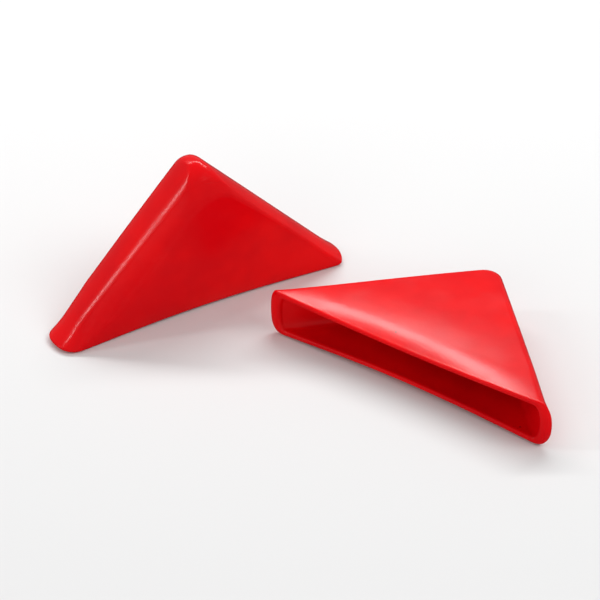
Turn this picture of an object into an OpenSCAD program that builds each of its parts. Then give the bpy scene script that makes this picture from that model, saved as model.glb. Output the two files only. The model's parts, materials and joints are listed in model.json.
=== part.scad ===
// A pair of dip-moulded soft PVC covers that slip over the right-angled corner of a plate.
// One cover stands on its open mouth and the other lies on a large wall in front of it.

/* [Plan of one cover] */
// Length of each closed leg of the outer triangle, measured to its sharp corners, mm
leg_length = 75; // [60:1:110]
// Radius of the pocket at the rounded right-angled corner, mm
pocket_apex_radius = 5; // [3:0.5:9]
// Radius of the pocket at each end of the mouth, mm
pocket_toe_radius = 0.5; // [0.25:0.25:2]

/* [Pocket and skin] */
// Clear gap between the two large walls at the ends of the mouth, mm
pocket_gap = 13; // [10:0.5:24]
// Thickness of the moulded skin, mm
wall = 1.8; // [1:0.1:3]
// Extra skin on each large wall at the right-angled corner, where the dip drains off, mm
apex_build_up = 0.75; // [0.25:0.05:1.5]
// Rounding of the outer edges at the right-angled corner, mm
edge_radius = 2.8; // [1:0.1:4]

/* [Waist of the mouth] */
// How far each large wall is drawn in at the middle of the mouth, mm
waist_depth = 1.4; // [0.5:0.1:2.5]
// Length of mouth over which the walls are drawn in, mm
waist_span = 84; // [50:1:90]
// Height above the mouth at which the walls are flat again, mm
waist_height = 30; // [15:1:36]

/* [Place of the lying cover] */
// Middle of its mouth, along the mouth of the standing cover, mm
lying_side = 29.4; // [10:0.1:80]
// Middle of its mouth, in front of the standing cover, mm
lying_front = 77.6; // [72:0.1:140]
// Turn of its mouth away from the mouth of the standing cover, degrees
lying_turn = 68; // [50:1:80]

/* [Hidden] */

skin_colour = [0.85, 0.05, 0.07];
// Facets round each rounded outer edge, and round the large waist cylinders
edge_facets = 28;
waist_facets = 720;

// The covered corner is a right angle, so both legs rise at 45 degrees from the mouth
leg_slope = 45;
mouth_length = leg_length * sqrt(2);
cover_height = leg_length / sqrt(2);
mouth_thickness = pocket_gap + 2 * wall;
apex_thickness = mouth_thickness + 2 * apex_build_up;

// Rounded corners of the outer outline, and the centres they share with the pocket's
apex_radius = pocket_apex_radius + wall;
toe_radius = pocket_toe_radius + wall;
apex_z = cover_height - apex_radius * sqrt(2);
toe_x = mouth_length / 2 - toe_radius / tan(leg_slope / 2);
toe_z = toe_radius;

// The long edges are rounded no more than twice the wall, and the lip by half the wall
apex_rim = min(edge_radius, 2 * wall);
toe_rim = wall / 2;

// Each large outer face runs from the rims of both toes up to the rim of the apex
face_bottom = toe_z - (toe_radius - toe_rim);
face_top = apex_z - (apex_radius - apex_rim);
face_lean = atan(apex_build_up / (face_top - face_bottom));

// The waist follows a large leaning cylinder, which cuts deepest at the mouth
waist_radius = (pow(waist_span / 2, 2) + pow(waist_depth, 2)) / (2 * waist_depth);
waist_lean = face_lean + atan(waist_depth / waist_height);
// Long enough to pass the mouth and the apex
waist_length = 4 * cover_height;
// How far the pocket is carried past the mouth to leave it open
mouth_overrun = 5;

// Height of the middle of the mouth when a cover lies on one of its large faces
lying_height = (mouth_thickness / 2 - toe_rim) * cos(face_lean) - face_bottom * sin(face_lean) + toe_rim;

// Two rings about the Y axis that give a round corner its softened rims
module corner_rings(radius, rim, thickness) {
    for (side = [-1, 1])
        translate([0, side * (thickness / 2 - rim), 0])
            rotate([90, 0, 0])
                rotate_extrude($fn = edge_facets)
                    translate([radius - rim, 0])
                        circle(rim, $fn = edge_facets);
}

// The large cylinders beside both walls; grow is how much wider than the outer waist
module waist_cylinders(grow) {
    for (side = [-1, 1])
        translate([0, side * (mouth_thickness / 2 - waist_depth), 0])
            rotate([-side * waist_lean, 0, 0])
                translate([0, side * waist_radius, 0])
                    cylinder(r = waist_radius + grow, h = waist_length, center = true, $fn = waist_facets);
}

// Outer form of one cover, standing on its mouth with its thickness along Y
module outer_form() {
    difference() {
        hull() {
            translate([0, 0, apex_z])
                corner_rings(apex_radius, apex_rim, apex_thickness);
            for (side = [-1, 1])
                translate([side * toe_x, 0, toe_z])
                    corner_rings(toe_radius, toe_rim, mouth_thickness);
        }
        waist_cylinders(0);
    }
}

// Plan outline of the pocket, drawn in X and Y with the mouth past the X axis
module pocket_outline() {
    hull() {
        translate([0, apex_z])
            circle(pocket_apex_radius, $fn = edge_facets);
        for (side = [-1, 1])
            translate([side * toe_x, toe_z])
                circle(pocket_toe_radius, $fn = edge_facets);
    }
    translate([-toe_x - pocket_toe_radius, -mouth_overrun])
        square([2 * (toe_x + pocket_toe_radius), toe_z + mouth_overrun]);
}

// The hollow, which keeps one wall thickness inside the outer form
module pocket() {
    difference() {
        rotate([90, 0, 0])
            linear_extrude(pocket_gap, center = true)
                pocket_outline();
        waist_cylinders(wall);
    }
}

// One cover, as moulded: a single skin, closed on both legs and open along the mouth
module cover() {
    difference() {
        outer_form();
        pocket();
    }
}

module standing_cover() {
    color(skin_colour)
        cover();
}

module lying_cover() {
    color(skin_colour)
        translate([lying_side, -lying_front, lying_height])
            rotate([0, 0, -lying_turn])
                rotate([face_lean - 90, 0, 0])
                    cover();
}

standing_cover();
lying_cover();
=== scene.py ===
"""Builds the looks of a pair of dip-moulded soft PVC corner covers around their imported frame.

Each cover is one skin: an outer face, a rounded lip round the mouth and an inner face, laid out as
rings of points that climb from the lip to the apex. All lengths are metres in the frame's own axes.
In a cover's own axes X runs along the mouth, Y through the thickness and Z from the mouth to the apex.
"""

import json
import math

import bmesh
import bpy
from bpy.props import FloatProperty, FloatVectorProperty, IntProperty, PointerProperty
from mathutils import Matrix, Vector


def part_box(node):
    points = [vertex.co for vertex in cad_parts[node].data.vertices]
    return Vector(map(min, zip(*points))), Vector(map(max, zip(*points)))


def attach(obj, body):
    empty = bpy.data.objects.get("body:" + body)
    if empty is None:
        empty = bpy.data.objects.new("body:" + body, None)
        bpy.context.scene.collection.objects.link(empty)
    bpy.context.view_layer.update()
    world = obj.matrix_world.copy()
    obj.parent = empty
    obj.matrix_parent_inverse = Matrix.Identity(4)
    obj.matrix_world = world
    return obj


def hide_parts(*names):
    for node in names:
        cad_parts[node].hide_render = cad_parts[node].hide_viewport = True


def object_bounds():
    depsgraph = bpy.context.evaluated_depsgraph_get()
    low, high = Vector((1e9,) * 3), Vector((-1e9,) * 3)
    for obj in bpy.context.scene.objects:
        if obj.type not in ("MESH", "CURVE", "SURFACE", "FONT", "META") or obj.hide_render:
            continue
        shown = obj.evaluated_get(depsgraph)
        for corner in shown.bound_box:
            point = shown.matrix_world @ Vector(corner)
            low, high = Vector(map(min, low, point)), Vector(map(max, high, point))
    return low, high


bl_info = {
    "name": "Dip-moulded corner covers",
    "version": (1, 0, 0),
    "blender": (4, 5, 0),
    "location": "3D View > Sidebar > Corner covers",
    "description": "Builds a standing and a lying soft PVC corner cover, their skin and a small studio",
    "category": "Object",
}

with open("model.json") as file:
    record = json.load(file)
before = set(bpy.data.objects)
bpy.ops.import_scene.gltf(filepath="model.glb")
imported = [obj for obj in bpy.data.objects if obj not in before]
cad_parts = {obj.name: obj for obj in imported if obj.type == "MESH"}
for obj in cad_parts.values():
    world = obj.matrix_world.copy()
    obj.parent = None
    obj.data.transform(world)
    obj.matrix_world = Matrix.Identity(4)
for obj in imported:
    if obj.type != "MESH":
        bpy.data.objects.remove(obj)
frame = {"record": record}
CAD_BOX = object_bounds()

MM = 0.001
ROOT2 = math.sqrt(2)
UP = Vector((0, 0, 1))
STANDING_LOW, STANDING_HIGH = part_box("standing_cover")
MOUNTS = {mount["name"]: mount for mount in frame["record"]["mounts"]}

# Ends of a cover's mouth, as seen from its front wall
LEFT, RIGHT = -1, 1

# Squareness of the rounding inside, and at the toe with the bead: 2 is an ellipse, more is squarer
INSIDE_SQUARE = 2.6
TOE_SQUARE = 2.3
CREASED_TOE_SQUARE = 2.4
# Depth of the rounding at that toe, in toe depths
CREASED_BACK_TOE = 1.25
PLAIN_TOE = 0.75
CREASED_FRONT_TOE = 0.8
# Share of the edge's points that lie before the crease, and how much they crowd towards it
CREASE_SHARE = 0.4
CREASE_CROWDING = 1.8
# Share of the crease's drop and of the bevel's depth that the pocket follows
INSIDE_DROP = 0.6
INSIDE_DEPTH = 0.9
# Share of the height over which the apex build-up grows
BUILD_UP_RISE = 0.74
# Height over which the outline eases into the raised rim
LIFT_FADE = 12 * MM
# How steeply the waist, the curl above the lip and the toe's own shape fade out, as powers
WAIST_POWER = 1.5
CURL_POWER = 0.3
TOE_POWER = 0.8

# Rows of points up a leg and round the apex, and how much they crowd towards the mouth
OUTER_ROWS = (44, 14)
INNER_ROWS = (34, 10)
ROW_CROWDING = 1.35
# Steps round the lip, steps from the crest to a large wall, and the distance within which points merge
LIP_STEPS = 12
EDGE_STEPS = 20
MERGE_DISTANCE = 2e-6

# Place of the dark speck, painted shade of a pinhole's pit, in the lying cover's own axes, and the radii
# between which it fades
SPECK_PLACE = Vector((-7.2, -7.1, 5.7)) * MM
SPECK_CORE = 0.25 * MM
SPECK_EDGE = 0.5 * MM

# Half of the table's side, its gap below the covers and its grey
TABLE_REACH = 4.0
TABLE_GAP = 0.05 * MM
TABLE_GREY = 0.74

# Places of the lights from the point that the camera looks at, and their sizes, in metres
BACK_PLACE, BACK_SIZE = Vector((0.30, 0.54, 0.785)), (1.4, 0.10)
STRIP_PLACE, STRIP_SIZE = Vector((-0.72, 0.36, 0.58)), (0.022, 0.35)
LEFT_FILL_PLACE, LEFT_FILL_SIZE = Vector((-1.1, -0.9, 0.45)), (1.0, 0.8)
RIGHT_FILL_PLACE, RIGHT_FILL_SIZE = Vector((0.6, -0.9, 1.15)), (0.9, 0.7)
# How much stronger the right fill is than the left
RIGHT_FILL_SHARE = 2
# Half the band about the horizon in which the surroundings turn brighter
HORIZON_BLUR = 0.02


def length(name, description, default):
    """A length property in metres whose default is given in millimetres."""
    return FloatProperty(name=name, description=description, default=default * MM, min=0, unit="LENGTH",
                         subtype="DISTANCE", precision=5)


# ---------------------------------------------------------------- properties


class CoverShape(bpy.types.PropertyGroup):
    """Sizes that both covers share."""

    apex_radius: length("Apex radius", "Outside radius of the right-angled corner", 6.8)
    apex_build_up: length("Apex build-up", "Extra skin on each large wall at the apex", 0.75)
    wall: length("Wall", "Thickness of the moulded skin", 1.8)
    crown: length("Crown", "How far the middle of a narrow wall stands out past its edges", 0.7)
    back_depth: length("Back depth", "Depth over which a narrow wall rounds into the back wall", 4.5)
    back_square: FloatProperty(name="Back squareness", description="2 is an ellipse, more is squarer",
                               default=2.8, min=2)
    left_bevel: length("Left bevel", "Depth over which the left leg rounds into the front wall", 9)
    right_bevel: length("Right bevel", "Depth over which the right leg rounds into the front wall", 3.2)
    left_crease: FloatProperty(name="Left crease", default=0.52, min=0, max=1,
                               description="Place of the left crease, 0 middle to 1 front")
    right_crease: FloatProperty(name="Right crease", default=0.92, min=0, max=1,
                                description="Place of the right crease, 0 middle to 1 front")
    left_drop: length("Left drop", "How far the left crease lies inside the crest", 0.7)
    right_drop: length("Right drop", "How far the right crease lies inside the crest", 1.9)
    crease_radius: length("Crease radius", "Radius of the creases round the right-angled corner", 12)
    toe_depth: length("Toe depth", "Depth of the rounding at the ends of the mouth", 5.5)
    toe_fade: length("Toe fade", "Height over which the creases fade out at the toes", 16)
    crest_radius: length("Crest radius", "Radius of the corner along the middle of the skin", 4.8)
    face_corner_radius: length("Face corner radius", "Radius of the corner where the large walls begin", 5.5)
    pocket_edge: length("Pocket edge", "Rounding of the long edges inside the pocket", 2.4)
    toe_bulge: length("Toe bulge", "How far the toe without the bead stands out past its leg", 1.0)
    bulge_height: length("Bulge height", "Height over which a bead at a toe fades out", 6.5)
    toe_lip: length("Toe lip", "Height of the rounded lip at the ends of the mouth", 1.7)
    face_lip: length("Face lip", "Height of the rounded lip along the large walls", 0.95)
    lip_curl: length("Lip curl", "How far the large walls curl in just above the lip", 0.65)
    curl_height: length("Curl height", "Height over which that curl fades out", 9)
    lip_bead: length("Lip bead", "How much thicker the skin is at the lip", 0.5)
    bead_height: length("Bead height", "Depth over which that bead fades out in the pocket", 5)
    rim_arch: length("Rim arch", "How far the rim rises at the middle of the mouth", 0.7)
    waist_span: length("Waist span", "Half of the mouth's length over which the walls are drawn in", 50)
    waist_height: length("Waist height", "Height at which the walls are flat again", 30)
    face_segments: IntProperty(name="Face segments", description="Points across each large wall",
                               default=72, min=8)


class SkinFinish(bpy.types.PropertyGroup):
    """Colours and gloss of the red PVC."""

    colour: FloatVectorProperty(name="Colour", description="Main red of the PVC", subtype="COLOR", size=3,
                                default=(0.80, 0.002, 0.004), min=0, max=1)
    deep_colour: FloatVectorProperty(name="Deep colour", description="Red where the skin is thicker",
                                     subtype="COLOR", size=3, default=(0.68, 0.001, 0.004), min=0, max=1)
    gloss_roughness: FloatProperty(name="Roughness", description="Roughness of the clean skin", default=0.17,
                                   min=0, max=1, subtype="FACTOR")
    peel_height: length("Orange peel height", "Depth of the soft ripples in the skin", 0.04)


class Studio(bpy.types.PropertyGroup):
    """Camera and lights."""

    azimuth: FloatProperty(name="Azimuth", description="Turn of the camera about the covers",
                           default=math.radians(-31.14), subtype="ANGLE", unit="ROTATION")
    elevation: FloatProperty(name="Elevation", description="Height of the camera above the table",
                             default=math.radians(34.24), subtype="ANGLE", unit="ROTATION")
    distance: length("Distance", "Distance of the camera from the point it looks at", 850.8)
    focal_mm: FloatProperty(name="Focal length", description="Focal length on a 36 mm sensor, in mm",
                            default=155.8, min=1)
    aim: FloatVectorProperty(name="Aim", description="Point on the table that the camera looks at", size=3,
                             subtype="XYZ", default=(27.35 * MM, -18.6 * MM, 0))
    softbox_power: FloatProperty(name="Softbox power", description="Softbox above and behind, in watts",
                                 default=9.2, min=0)
    strip_power: FloatProperty(name="Strip power", description="Strip light on the left, in watts",
                               default=1.2, min=0)
    fill_power: FloatProperty(name="Fill power", default=4.3, min=0,
                              description="Weak left light from the front, in watts; the right has twice")
    air: FloatProperty(name="Ambient light", description="Brightness of the white surroundings", default=0.36,
                       min=0)
    low_air: FloatProperty(name="Low ambient light", default=0.12, min=0,
                           description="Brightness of the surroundings below the table")


# ---------------------------------------------------------------- shader expressions


class Sock:
    """A shader value that can be used in Python arithmetic."""

    def __init__(self, graph, socket):
        self.graph = graph
        self.socket = socket

    def _math(self, operation, first, second):
        return self.graph.node("ShaderNodeMath", {"operation": operation}, {0: first, 1: second})

    def __add__(self, other):
        return self._math("ADD", self, other)

    def __radd__(self, other):
        return self._math("ADD", other, self)

    def __sub__(self, other):
        return self._math("SUBTRACT", self, other)

    def __rsub__(self, other):
        return self._math("SUBTRACT", other, self)

    def __mul__(self, other):
        return self._math("MULTIPLY", self, other)

    def __rmul__(self, other):
        return self._math("MULTIPLY", other, self)


class Graph:
    """The node tree of one material or world."""

    def __init__(self, owner):
        owner.use_nodes = True
        self.tree = owner.node_tree
        self.tree.nodes.clear()

    def node(self, kind, settings=None, values=None, output=0):
        """Adds a node, sets its settings, then its socket values or links, and returns one output."""
        made = self.tree.nodes.new(kind)
        for name, value in (settings or {}).items():
            setattr(made, name, value)
        for key, value in (values or {}).items():
            if isinstance(value, Sock):
                self.tree.links.new(value.socket, made.inputs[key])
            else:
                made.inputs[key].default_value = value
        return Sock(self, made.outputs[output]) if made.outputs else None

    def noise(self, place, scale, detail, roughness):
        """Smooth noise between 0 and 1; scale is in ripples per metre."""
        return self.node("ShaderNodeTexNoise", None,
                         {"Vector": place, "Scale": scale, "Detail": detail, "Roughness": roughness})

    def step(self, value, low, high):
        """0 below low, 1 above high and a smooth rise between them."""
        return self.node("ShaderNodeMapRange", {"interpolation_type": "SMOOTHSTEP"},
                         {"Value": value, "From Min": low, "From Max": high})

    def mix_colour(self, factor, first, second):
        """A colour between first and second."""
        return self.node("ShaderNodeMix", {"data_type": "RGBA"}, {0: factor, 6: first, 7: second}, output=2)


def rgba(colour):
    """A colour with full opacity."""
    return (*colour, 1)


def dipped_red_pvc(finish, speck):
    """Glossy red PVC: orange peel, faint clouding, smears, a few pinholes and one dark speck, both with
    painted shade.
    """
    material = bpy.data.materials.new("dipped_red_pvc")
    graph = Graph(material)
    place = graph.node("ShaderNodeTexCoord", output=3)

    # Slow clouding of the pigment, and a finer mottling and smears that only show in the gloss
    clouds = graph.noise(place, scale=38, detail=3, roughness=0.55)
    mottle = graph.noise(place, scale=260, detail=3, roughness=0.6)
    smears = graph.noise(place, scale=95, detail=2, roughness=0.5)

    # Pinholes: small far-apart cells, kept only where a second noise is high
    cells = graph.node("ShaderNodeTexVoronoi", {"feature": "F1"}, {"Vector": place, "Scale": 120.0}, output=0)
    rare = graph.step(graph.noise(place, scale=55, detail=1, roughness=0.5), 0.62, 0.66)
    pinholes = (1 - graph.step(cells, 0.035, 0.06)) * rare

    # One dark speck on the lying cover: painted shade standing in for the pit of a pinhole
    away = graph.node("ShaderNodeVectorMath", {"operation": "DISTANCE"}, {0: place, 1: speck}, output=1)
    speck_shade = 1 - graph.step(away, SPECK_CORE, SPECK_EDGE)
    # Painted shade: the pinholes get a dark red for the shade inside their pits
    pinhole_shade_colour = (0.12, 0.0, 0.002, 1)
    # Painted shade: the speck gets a near-black for the shade in a pinhole's pit
    speck_shade_colour = (0.03, 0.004, 0.004, 1)

    colour = graph.mix_colour(graph.step(clouds, 0.35, 0.7), rgba(finish.deep_colour), rgba(finish.colour))
    # Painted shade in the pinholes' pits
    colour = graph.mix_colour(pinholes * 0.55, colour, pinhole_shade_colour)
    # Painted shade of the speck
    colour = graph.mix_colour(speck_shade * 0.85, colour, speck_shade_colour)
    roughness = finish.gloss_roughness + 0.07 * graph.step(smears, 0.45, 0.8) + 0.05 * (mottle - 0.5)

    # Orange peel in two scales, with the pinholes sunk into it
    broad_peel = graph.noise(place, scale=170, detail=2, roughness=0.5)
    fine_peel = graph.noise(place, scale=700, detail=2, roughness=0.6)
    relief = broad_peel * 0.6 + fine_peel * 0.55 - pinholes * 0.9
    normal = graph.node("ShaderNodeBump", None,
                        {"Strength": 1.0, "Distance": finish.peel_height, "Height": relief})
    shader = graph.node("ShaderNodeBsdfPrincipled", None, {
        "Base Color": colour,
        "Roughness": roughness,
        "Normal": normal,
        "IOR": 1.5,
        "Specular IOR Level": 0.22,
        "Specular Tint": (1.0, 0.8, 0.8, 1),
        "Subsurface Weight": 0.05,
        "Subsurface Radius": (0.9, 0.08, 0.05),
        "Subsurface Scale": 0.002,
    })
    graph.node("ShaderNodeOutputMaterial", None, {"Surface": shader})
    return material


def pale_table():
    """Matt, nearly white table."""
    material = bpy.data.materials.new("pale_table")
    graph = Graph(material)
    shader = graph.node("ShaderNodeBsdfPrincipled", None,
                        {"Base Color": rgba([TABLE_GREY] * 3), "Roughness": 0.9, "Specular IOR Level": 0.1})
    graph.node("ShaderNodeOutputMaterial", None, {"Surface": shader})
    return material


# ---------------------------------------------------------------- the form of one cover


class CoverForm:
    """The surfaces of one cover, in its own axes. front and back are the waist depths of its walls.

    A creased cover has a crisp crease along both legs on its front side. The last drops of the dip ran
    to the toe on the drip side, LEFT or RIGHT, and left a bead there that stands out as far as bead.
    """

    def __init__(self, shape, front, back, creased, drip, bead):
        self.shape = shape
        self.creased = creased
        self.drip = drip
        self.bead = bead
        self.waist = {-1: front, 1: back}
        box_height = STANDING_HIGH.z - STANDING_LOW.z
        self.corner = box_height + shape.apex_radius * (ROOT2 - 1)
        self.half_mouth = (STANDING_HIGH.y - STANDING_LOW.y) / 2 - shape.apex_build_up
        self.outer = {"reach": self.corner + shape.crown * ROOT2, "radius": shape.crest_radius,
                      "face_radius": shape.face_corner_radius, "back": shape.back_depth,
                      "square": shape.back_square, "wall": 0}
        self.inner = {"reach": self.corner - shape.wall * ROOT2, "radius": shape.apex_radius - shape.wall,
                      "face_radius": shape.apex_radius - shape.wall, "back": shape.pocket_edge,
                      "square": INSIDE_SQUARE, "wall": shape.wall}

    def window(self, x):
        """1 at the middle of the mouth, falling smoothly to 0 where the walls are no longer drawn in."""
        share = 1 - (x / self.shape.waist_span) ** 2
        return max(share, 0) ** WAIST_POWER

    def half_thickness(self, skin, side, x, z):
        """Distance of a large wall from the middle plane."""
        shape = self.shape
        rise = min(max(z / (self.corner * BUILD_UP_RISE), 0), 1)
        fade = max(1 - z / shape.waist_height, 0) ** 2
        waist = self.waist[side] * self.window(x) * fade
        if skin["wall"]:
            thicker = shape.lip_bead * max(1 - z / shape.bead_height, 0) ** 2
            return self.half_mouth - shape.wall - waist - thicker
        curl = shape.lip_curl * self.window(x) ** CURL_POWER * max(1 - z / shape.curl_height, 0) ** 2
        return self.half_mouth + shape.apex_build_up * rise - waist - curl

    def toe_bulge(self, skin, hand, z):
        """How far the bead at a toe stands out past the straight leg."""
        if skin["wall"]:
            return 0
        shape = self.shape
        most = self.bead if hand == self.drip else shape.toe_bulge
        return most * max(1 - z / shape.bulge_height, 0) ** 2

    def lip_height(self, turn, x):
        """Height of the rounded lip and of the rim's arch; turn is 1 at the toes and 0 on the walls."""
        shape = self.shape
        arch = shape.rim_arch * self.window(x) * (1 - turn)
        return shape.face_lip + (shape.toe_lip - shape.face_lip) * turn, arch

    def stations(self, legs, arc):
        """Places along one leg: shares of its height, then angles round the apex."""
        heights = [("leg", (i / legs) ** ROW_CROWDING) for i in range(legs + 1)]
        angles = [("arc", math.radians(45 + 45 * i / arc)) for i in range(1, arc + 1)]
        return heights + angles

    def outline(self, skin, station, drop, radius, lift):
        """Point of the plan outline that lies drop inside the crest, with its lowest part lifted."""
        kind, value = station
        reach = skin["reach"] - drop * ROOT2
        centre = reach - radius * ROOT2
        if kind == "arc":
            return radius * math.cos(value), centre + radius * math.sin(value)
        height = value * (centre + radius / ROOT2)
        blend = max(1 - height / LIFT_FADE, 0)
        z = height + lift * blend ** 2
        return reach - z, z

    def handed(self, left, right, station, hand):
        """A size that changes smoothly from the left leg to the right one round the apex."""
        kind, value = station
        away = 1 - 0.5 * value ** 4 if kind == "leg" else 0.5 * (math.pi / 2 - value) / (math.pi / 4)
        return (left + right) / 2 + hand * away * (right - left) / 2

    def near_toe(self, skin, station):
        """1 at the mouth, falling smoothly to 0 above the toe."""
        kind, value = station
        if kind == "arc":
            return 0
        share = 1 - value * skin["reach"] / self.shape.toe_fade
        return max(share, 0) ** TOE_POWER

    def round_edge(self, depth, square, share):
        """Quarter of a superellipse: (place across, drop) for a share from the crest to the large wall."""
        angle = math.pi / 2 * share
        across, out = math.sin(angle), math.cos(angle)
        size = (across ** square + out ** square) ** (-1 / square)
        return across * size, depth * (1 - out * size)

    def crease_edge(self, crease, drop, depth, share):
        """Crowned wall up to a crisp crease, then a soft bevel into the large wall."""
        if share < CREASE_SHARE:
            along = 1 - (1 - share / CREASE_SHARE) ** CREASE_CROWDING
            return crease * along, drop * along ** 2
        along = ((share - CREASE_SHARE) / (1 - CREASE_SHARE)) ** CREASE_CROWDING
        return crease + (1 - crease) * (1 - (1 - along) ** 2), drop + (depth - drop) * along

    def edge_shape(self, skin, station, hand, side, share):
        """Place across, drop, corner radius and whole depth for a share from the crest to a large wall."""
        shape = self.shape
        toe = self.near_toe(skin, station) if hand == self.drip else 0
        if side > 0 or not self.creased:
            edge = skin["back"] if side > 0 else min(skin["back"], shape.right_bevel)
            toe_depths = CREASED_BACK_TOE if self.creased else PLAIN_TOE
            end = edge if skin["wall"] else shape.toe_depth * toe_depths
            depth = edge + (end - edge) * toe
            square = skin["square"] + (TOE_SQUARE - skin["square"]) * toe
            across, drop = self.round_edge(depth, square, share)
            radius = skin["radius"] + (skin["face_radius"] - skin["radius"]) * drop / depth
            return across, drop, radius, depth
        crease = self.handed(shape.left_crease, shape.right_crease, station, hand)
        inside = self.handed(shape.left_drop, shape.right_drop, station, hand)
        depth = self.handed(shape.left_bevel, shape.right_bevel, station, hand)
        depth += (CREASED_FRONT_TOE * shape.toe_depth - depth) * toe
        if skin["wall"]:
            inside *= INSIDE_DROP
            depth *= INSIDE_DEPTH
        sharp = self.crease_edge(crease, inside, depth, share)
        soft = self.round_edge(depth, CREASED_TOE_SQUARE, share)
        across = sharp[0] + (soft[0] - sharp[0]) * toe
        drop = sharp[1] + (soft[1] - sharp[1]) * toe
        corner = shape.crease_radius - skin["wall"]
        radius = skin["radius"] + (corner - skin["radius"]) * min(share / CREASE_SHARE, 1)
        return across, drop, radius, depth

    def edge_point(self, skin, station, side, share, hand):
        """A point of the narrow wall on the leg of one hand, LEFT or RIGHT."""
        across, drop, radius, depth = self.edge_shape(skin, station, hand, side, share)
        lip, arch = self.lip_height(1 - drop / depth, self.corner)
        x, z = self.outline(skin, station, drop, radius, lip + arch)
        x += self.toe_bulge(skin, hand, z) * (1 - drop / depth)
        half = self.half_thickness(skin, side, x, z)
        return Vector((hand * x, side * across * half, z))

    def wall_point(self, skin, station, side, share):
        """A point of a large wall; share runs from 1 at the right-hand edge to -1 at the left."""
        lip = self.lip_height(0, self.corner)[0]
        ends = []
        for hand in (LEFT, RIGHT):
            _, drop, radius, _ = self.edge_shape(skin, station, hand, side, 1)
            x, z = self.outline(skin, station, drop, radius, lip)
            ends.append((hand * x, z, radius, drop))
        mix = (share + 1) / 2
        x = ends[0][0] + (ends[1][0] - ends[0][0]) * mix
        lip, arch = self.lip_height(0, x)
        heights = [self.outline(skin, station, drop, radius, lip + arch)[1] for _, _, radius, drop in ends]
        z = heights[0] + (heights[1] - heights[0]) * mix
        return Vector((x, side * self.half_thickness(skin, side, x, z), z))

    def ring(self, skin, station):
        """One closed ring of points: right edge, back wall, left edge, front wall."""
        segments = self.shape.face_segments
        shares = [1 - 2 * i / segments for i in range(1, segments)]
        turns = [(-1, 1 - i / EDGE_STEPS) for i in range(EDGE_STEPS)]
        turns += [(1, i / EDGE_STEPS) for i in range(EDGE_STEPS + 1)]
        right = [self.edge_point(skin, station, side, share, RIGHT) for side, share in turns]
        left = [self.edge_point(skin, station, side, share, LEFT) for side, share in reversed(turns)]
        back = [self.wall_point(skin, station, 1, share) for share in shares]
        front = [self.wall_point(skin, station, -1, -share) for share in shares]
        return right + back + left + front

    def lip_rings(self, steps):
        """Rings that turn from the outer skin round the lip to the inner skin."""
        mouth = ("leg", 0)
        outer = self.ring(self.outer, mouth)
        inner = self.ring(self.inner, mouth)
        rings = []
        for i in range(1, steps):
            angle = math.pi * i / steps
            ring = []
            for start, end in zip(outer, inner):
                point = (start + end) / 2 + (start - end) / 2 * math.cos(angle)
                rim = self.shape.rim_arch * self.window(point.x)
                lip = (start.z + end.z) / 2 - rim
                point.z -= lip * math.sin(angle)
                ring.append(point)
            rings.append(ring)
        return rings


def skin_mesh(name, form, place):
    """The whole skin of one cover as a closed mesh, moved to its place in the frame."""
    outer = [form.ring(form.outer, station) for station in reversed(form.stations(*OUTER_ROWS))]
    inner = [form.ring(form.inner, station) for station in form.stations(*INNER_ROWS)]
    rings = outer + form.lip_rings(LIP_STEPS) + inner
    built = bmesh.new()
    rows = [[built.verts.new(place @ point) for point in ring] for ring in rings]
    count = len(rows[0])
    for row, following in zip(rows, rows[1:]):
        for i in range(count):
            j = (i + 1) % count
            built.faces.new((row[i], row[j], following[j], following[i]))
    bmesh.ops.remove_doubles(built, verts=built.verts, dist=MERGE_DISTANCE)
    built.normal_update()
    bmesh.ops.recalc_face_normals(built, faces=built.faces)
    for face in built.faces:
        face.smooth = True
    mesh = bpy.data.meshes.new(name)
    built.to_mesh(mesh)
    built.free()
    return mesh


def cover_place(mount, along):
    """Turns a cover's own axes to the frame: Z away from its mouth, X along its mouth."""
    apex = -Vector(mount["axis"]).normalized()
    side = apex.cross(along).normalized() if along == UP else Vector(along)
    through = apex.cross(side)
    turn = Matrix((side, through, apex)).transposed().to_4x4()
    return Matrix.Translation(mount["pos_m"]) @ turn


def add_cover(node, mount, along, front, back, creased, drip, bead):
    """Makes one cover, puts the PVC on it and hands it to its body."""
    shape = bpy.context.scene.cover_shape
    finish = bpy.context.scene.skin_finish
    form = CoverForm(shape, front, back, creased, drip, bead)
    mesh = skin_mesh(node + "_skin", form, cover_place(MOUNTS[mount], along))
    speck = cover_place(MOUNTS["lying_pocket"], UP) @ SPECK_PLACE
    material = bpy.data.materials.get("dipped_red_pvc") or dipped_red_pvc(finish, speck)
    mesh.materials.append(material)
    piece = bpy.data.objects.new(node + "_skin", mesh)
    bpy.context.scene.collection.objects.link(piece)
    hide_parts(node)
    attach(piece, node)
    return piece


# ---------------------------------------------------------------- operators


class COVERS_OT_standing_cover(bpy.types.Operator):
    """Build the cover that stands on its mouth"""

    bl_idname = "covers.standing_cover"
    bl_label = "Standing cover"

    def execute(self, context):
        add_cover("standing_cover", "standing_pocket", Vector((1, 0, 0)), front=1.8 * MM, back=1.4 * MM,
                  creased=True, drip=LEFT, bead=2.5 * MM)
        return {"FINISHED"}


class COVERS_OT_lying_cover(bpy.types.Operator):
    """Build the cover that lies on a large wall"""

    bl_idname = "covers.lying_cover"
    bl_label = "Lying cover"

    def execute(self, context):
        add_cover("lying_cover", "lying_pocket", UP, front=1.7 * MM, back=1.4 * MM,
                  creased=False, drip=RIGHT, bead=1.2 * MM)
        return {"FINISHED"}


def add_softbox(name, place, target, size, power):
    """A rectangular area light at place, turned to face target."""
    light = bpy.data.lights.new(name, "AREA")
    light.shape = "RECTANGLE"
    light.size, light.size_y = size
    light.energy = power
    lamp = bpy.data.objects.new(name, light)
    lamp.location = place
    lamp.rotation_euler = (Vector(target) - Vector(place)).to_track_quat("-Z", "Y").to_euler()
    bpy.context.scene.collection.objects.link(lamp)
    return lamp


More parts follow.
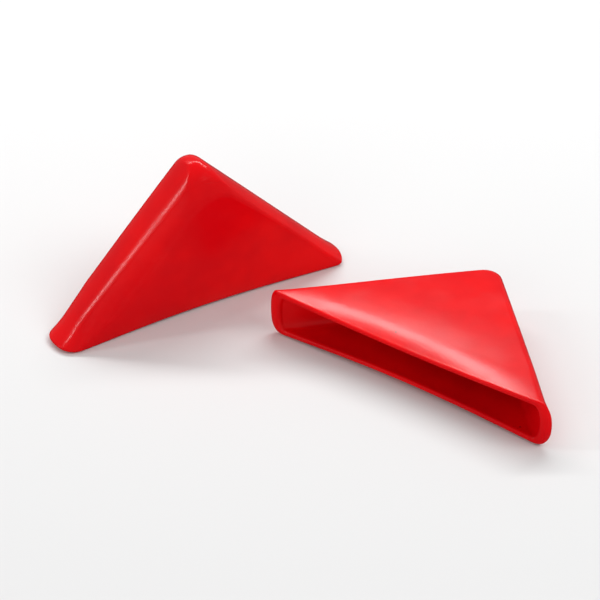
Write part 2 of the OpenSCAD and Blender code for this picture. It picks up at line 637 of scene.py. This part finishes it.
def bearing(azimuth, elevation):
    """Unit vector from the covers towards a camera or light; azimuth 0 stands in front, on the -Y side."""
    flat = math.cos(elevation)
    return Vector((math.sin(azimuth) * flat, -math.cos(azimuth) * flat, math.sin(elevation)))


class COVERS_OT_studio(bpy.types.Operator):
    """Build the table, the lights and the camera"""

    bl_idname = "covers.studio"
    bl_label = "Studio"

    def execute(self, context):
        scene = context.scene
        studio = scene.cover_studio
        self.add_table(scene)
        self.add_lights(scene, studio)
        self.add_camera(scene, studio)
        scene.view_settings.view_transform = "Standard"
        return {"FINISHED"}

    def add_table(self, scene):
        mesh = bpy.data.meshes.new("table")
        reach = TABLE_REACH
        corners = [(-reach, -reach, 0), (reach, -reach, 0), (reach, reach, 0), (-reach, reach, 0)]
        mesh.from_pydata(corners, [], [(0, 1, 2, 3)])
        mesh.materials.append(pale_table())
        table = bpy.data.objects.new("table", mesh)
        table.location.z = CAD_BOX[0][2] - TABLE_GAP
        scene.collection.objects.link(table)
        # Reflections in the skin show the grey air of the studio instead of the white table
        table.visible_glossy = False

    def add_lights(self, scene, studio):
        aim = Vector(studio.aim)
        add_softbox("back_softbox", aim + BACK_PLACE, aim, BACK_SIZE, studio.softbox_power)
        add_softbox("left_strip", aim + STRIP_PLACE, aim, STRIP_SIZE, studio.strip_power)
        left = add_softbox("left_fill", aim + LEFT_FILL_PLACE, aim, LEFT_FILL_SIZE, studio.fill_power)
        right_power = RIGHT_FILL_SHARE * studio.fill_power
        right = add_softbox("right_fill", aim + RIGHT_FILL_PLACE, aim, RIGHT_FILL_SIZE, right_power)
        # The fills only lift the shade, and leave no second highlight in the gloss
        for fill in (left, right):
            fill.visible_glossy = False
        world = bpy.data.worlds.new("studio_air")
        graph = Graph(world)
        direction = graph.node("ShaderNodeTexCoord", output=0)
        height = graph.node("ShaderNodeSeparateXYZ", None, {0: direction}, output=2)
        above = graph.step(height, -HORIZON_BLUR, HORIZON_BLUR)
        strength = studio.low_air + (studio.air - studio.low_air) * above
        background = graph.node("ShaderNodeBackground", None, {"Color": (1, 1, 1, 1), "Strength": strength})
        graph.node("ShaderNodeOutputWorld", None, {"Surface": background})
        scene.world = world

    def add_camera(self, scene, studio):
        lens = bpy.data.cameras.new("camera")
        lens.lens = studio.focal_mm
        lens.sensor_width = 36
        lens.clip_start = 0.01
        camera = bpy.data.objects.new("camera", lens)
        back = bearing(studio.azimuth, studio.elevation)
        camera.location = Vector(studio.aim) + back * studio.distance
        camera.rotation_euler = (-back).to_track_quat("-Z", "Y").to_euler()
        scene.collection.objects.link(camera)
        scene.camera = camera


class COVERS_PT_panel(bpy.types.Panel):
    """Sizes, finish and the steps that build the covers"""

    bl_idname = "COVERS_PT_panel"
    bl_label = "Corner covers"
    bl_space_type = "VIEW_3D"
    bl_region_type = "UI"
    bl_category = "Corner covers"

    def draw(self, context):
        for group in ("cover_shape", "skin_finish", "cover_studio"):
            box = self.layout.box()
            settings = getattr(context.scene, group)
            for name in settings.bl_rna.properties.keys():
                if name not in ("rna_type", "name"):
                    box.prop(settings, name)
        for operator in OPERATORS:
            self.layout.operator(operator.bl_idname)


OPERATORS = (COVERS_OT_standing_cover, COVERS_OT_lying_cover, COVERS_OT_studio)
CLASSES = (CoverShape, SkinFinish, Studio, *OPERATORS, COVERS_PT_panel)


def register():
    for cls in CLASSES:
        bpy.utils.register_class(cls)
    bpy.types.Scene.cover_shape = PointerProperty(type=CoverShape)
    bpy.types.Scene.skin_finish = PointerProperty(type=SkinFinish)
    bpy.types.Scene.cover_studio = PointerProperty(type=Studio)


def unregister():
    del bpy.types.Scene.cover_studio
    del bpy.types.Scene.skin_finish
    del bpy.types.Scene.cover_shape
    for cls in reversed(CLASSES):
        bpy.utils.unregister_class(cls)


def main():
    register()
    bpy.ops.covers.studio()
    bpy.ops.covers.standing_cover()
    bpy.ops.covers.lying_cover()


if __name__ == "__main__":
    main()
